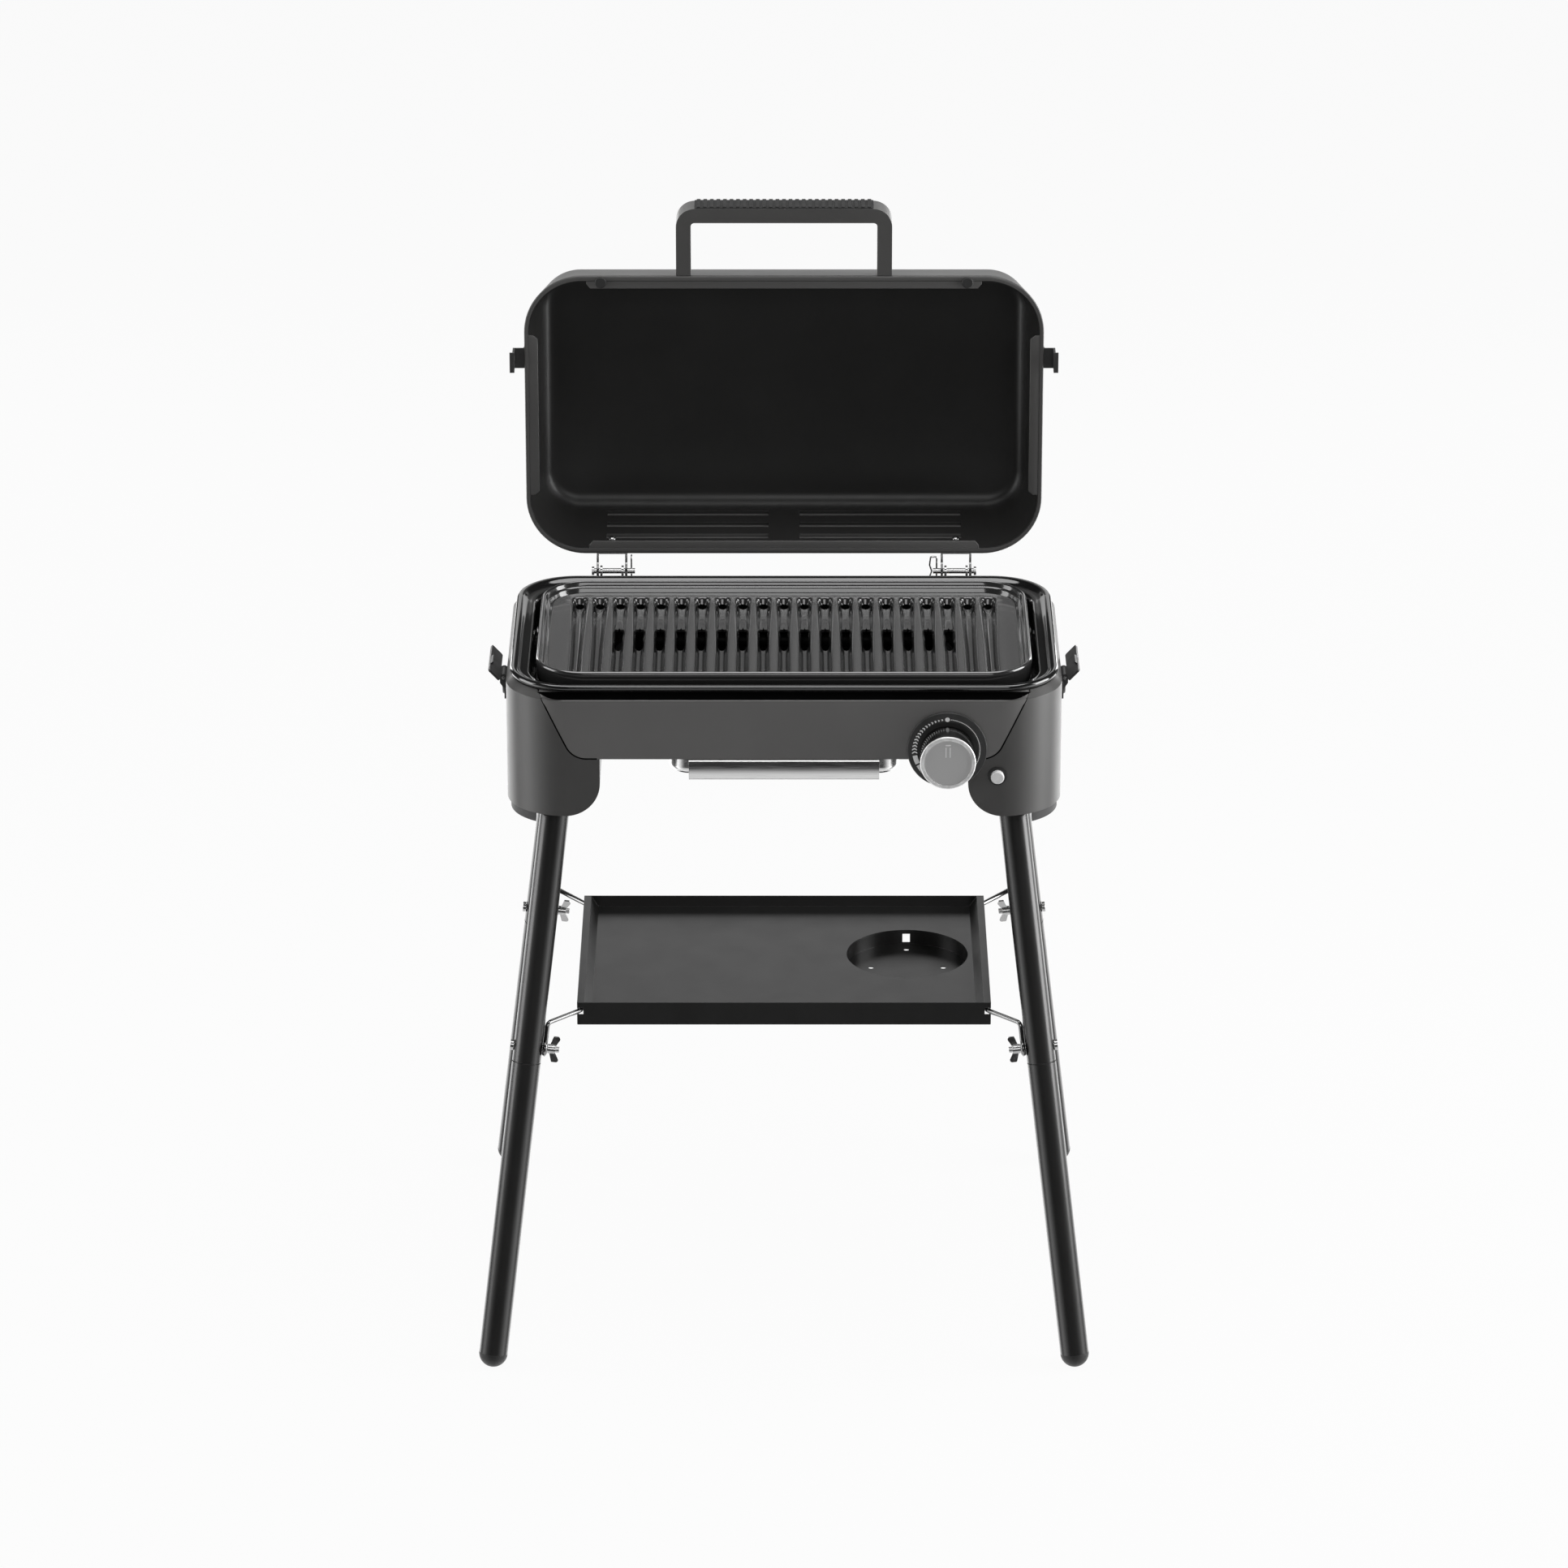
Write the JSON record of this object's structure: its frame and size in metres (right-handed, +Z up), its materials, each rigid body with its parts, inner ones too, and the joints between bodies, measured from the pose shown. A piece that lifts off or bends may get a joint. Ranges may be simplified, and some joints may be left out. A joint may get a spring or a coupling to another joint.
{
  "type": "folding camp grill",
  "caption": "Gas camp grill on splayed plug-in legs, with hinged lid, ribbed plate over a drip pan, grease drawer, control knob, side latches and a lower shelf with a gas cartridge cup.",
  "frame": {"origin": "on the ground under the middle of the body, between the four feet", "axes": "+Z up; -Y towards the cook, who faces the control knob; +X to the cook's right"},
  "size_m": [0.64, 0.542, 1.1362],
  "materials": {
    "pan_enamel": "gloss black vitreous enamel",
    "plate_enamel": "gloss black enamel on cast iron",
    "lid_paint": "fine satin black powder coat",
    "fascia_paint": "satin charcoal powder coat",
    "shell_paint": "satin charcoal moulding",
    "tube_paint": "satin black powder coat",
    "shelf_paint": "satin black powder coat",
    "black_plastic": "matte black moulding",
    "rubber": "matte black rubber",
    "chrome": "bright chrome plate",
    "zinc_steel": "bright zinc plate",
    "stainless": "brushed stainless steel",
    "brass": "machined brass",
    "ceramic": "glazed white ceramic",
    "knob_face": "satin grey lacquer with a pointer",
    "button_grey": "light grey moulding"
  },
  "bodies": {
    "base": {"front_fascia": "fascia_paint", "rear_fascia": "fascia_paint", "left_end_shell": "shell_paint", "right_end_shell": "shell_paint", "pod_feet": "rubber", "drip_pan": "pan_enamel", "burner_tube": "stainless", "heat_shield": "stainless", "gas_valve": "brass", "gas_supply_pipe": "brass", "burner_feed_pipe": "brass", "igniter_housing": "black_plastic", "igniter_electrode": "ceramic", "igniter_lead": "rubber", "knob_bezel": "black_plastic", "drawer_rails": "stainless", "hinge_base_brackets": "zinc_steel", "hinge_pins": "zinc_steel", "hinge_clips": "chrome", "latch_bases": "black_plastic", "latch_rivets": "black_plastic", "latch_pins": "zinc_steel", "upper_legs": "tube_paint", "leg_couplings": "black_plastic", "leg_sockets": "black_plastic", "shelf_tray": "shelf_paint", "cartridge_cup": "shelf_paint", "shelf_wires": "chrome", "wing_bolts": "zinc_steel", "body_screws": "zinc_steel"},
    "lid": {"lid_shell": "lid_paint", "lid_handle": "black_plastic", "handle_grip": "black_plastic", "handle_screws": "zinc_steel", "lid_bumpers": "rubber", "lid_hinge_brackets": "zinc_steel", "hinge_rivets": "zinc_steel", "latch_keepers": "black_plastic"},
    "left_latch": {"left_latch_lever": "black_plastic"},
    "right_latch": {"right_latch_lever": "black_plastic"},
    "valve_spindle": {"valve_stem": "brass"},
    "control_knob": {"knob": "black_plastic", "knob_trim_ring": "chrome", "knob_cap": "knob_face"},
    "spark_button": {"igniter_button": "button_grey"},
    "drawer": {"grease_drawer": "stainless", "drawer_handle": "stainless"},
    "plate": {"cooking_plate": "plate_enamel"},
    "front_right_leg": {"front_right_lower_leg": "tube_paint", "front_right_foot": "rubber"},
    "front_right_nut": {"front_right_wing_nut": "zinc_steel"},
    "front_left_leg": {"front_left_lower_leg": "tube_paint", "front_left_foot": "rubber"},
    "front_left_nut": {"front_left_wing_nut": "zinc_steel"},
    "rear_right_leg": {"rear_right_lower_leg": "tube_paint", "rear_right_foot": "rubber"},
    "rear_right_nut": {"rear_right_wing_nut": "zinc_steel"},
    "rear_left_leg": {"rear_left_lower_leg": "tube_paint", "rear_left_foot": "rubber"},
    "rear_left_nut": {"rear_left_wing_nut": "zinc_steel"}
  },
  "joints": [
    {"name": "lid_hinge", "type": "hinge", "parent": "base", "child": "lid", "pos_m": [0, 0.174, 0.731], "axis": [-1, 0, 0], "range_deg": [-90, 0]},
    {"name": "right_latch_pivot", "type": "hinge", "parent": "base", "child": "right_latch", "pos_m": [0.2908, -0.064, 0.705], "axis": [0, 1, 0], "range_deg": [-43, 45]},
    {"name": "left_latch_pivot", "type": "hinge", "parent": "base", "child": "left_latch", "pos_m": [-0.2908, -0.064, 0.705], "axis": [0, -1, 0], "range_deg": [-43, 45]},
    {"name": "knob_push", "type": "slide", "parent": "base", "child": "valve_spindle", "axis": [0, 1, 0], "range_m": [0, 0.003]},
    {"name": "knob_turn", "type": "hinge", "parent": "valve_spindle", "child": "control_knob", "pos_m": [0.1675, -0.2, 0.6622], "axis": [0, -1, 0], "range_deg": [0, 150]},
    {"name": "igniter_push", "type": "slide", "parent": "base", "child": "spark_button", "axis": [0, 1, 0], "range_m": [0, 0.005]},
    {"name": "drawer_slide", "type": "slide", "parent": "base", "child": "drawer", "axis": [0, -1, 0], "range_m": [0, 0.24]},
    {"name": "plate_lift", "type": "slide", "parent": "base", "child": "plate", "axis": [0, 0, 1], "range_m": [0, 0.12]},
    {"name": "front_right_leg_slide", "type": "slide", "parent": "base", "child": "front_right_leg", "axis": [0.1164, -0.2134, -0.97], "range_m": [0, 0.05]},
    {"name": "front_right_nut_turn", "type": "hinge", "parent": "base", "child": "front_right_nut", "pos_m": [0.24236, -0.18589, 0.33226], "axis": [-0.9931, -0.0126, -0.1164], "continuous": true},
    {"name": "front_left_leg_slide", "type": "slide", "parent": "base", "child": "front_left_leg", "axis": [-0.1164, -0.2134, -0.97], "range_m": [0, 0.05]},
    {"name": "front_left_nut_turn", "type": "hinge", "parent": "base", "child": "front_left_nut", "pos_m": [-0.24236, -0.18589, 0.33226], "axis": [0.9931, -0.0126, -0.1164], "continuous": true},
    {"name": "rear_right_leg_slide", "type": "slide", "parent": "base", "child": "rear_right_leg", "axis": [0.1164, 0.2134, -0.97], "range_m": [0, 0.05]},
    {"name": "rear_right_nut_turn", "type": "hinge", "parent": "base", "child": "rear_right_nut", "pos_m": [0.24236, 0.18589, 0.33226], "axis": [-0.9931, 0.0126, -0.1164], "continuous": true},
    {"name": "rear_left_leg_slide", "type": "slide", "parent": "base", "child": "rear_left_leg", "axis": [-0.1164, 0.2134, -0.97], "range_m": [0, 0.05]},
    {"name": "rear_left_nut_turn", "type": "hinge", "parent": "base", "child": "rear_left_nut", "pos_m": [-0.24236, 0.18589, 0.33226], "axis": [0.9931, 0.0126, -0.1164], "continuous": true}
  ]
}
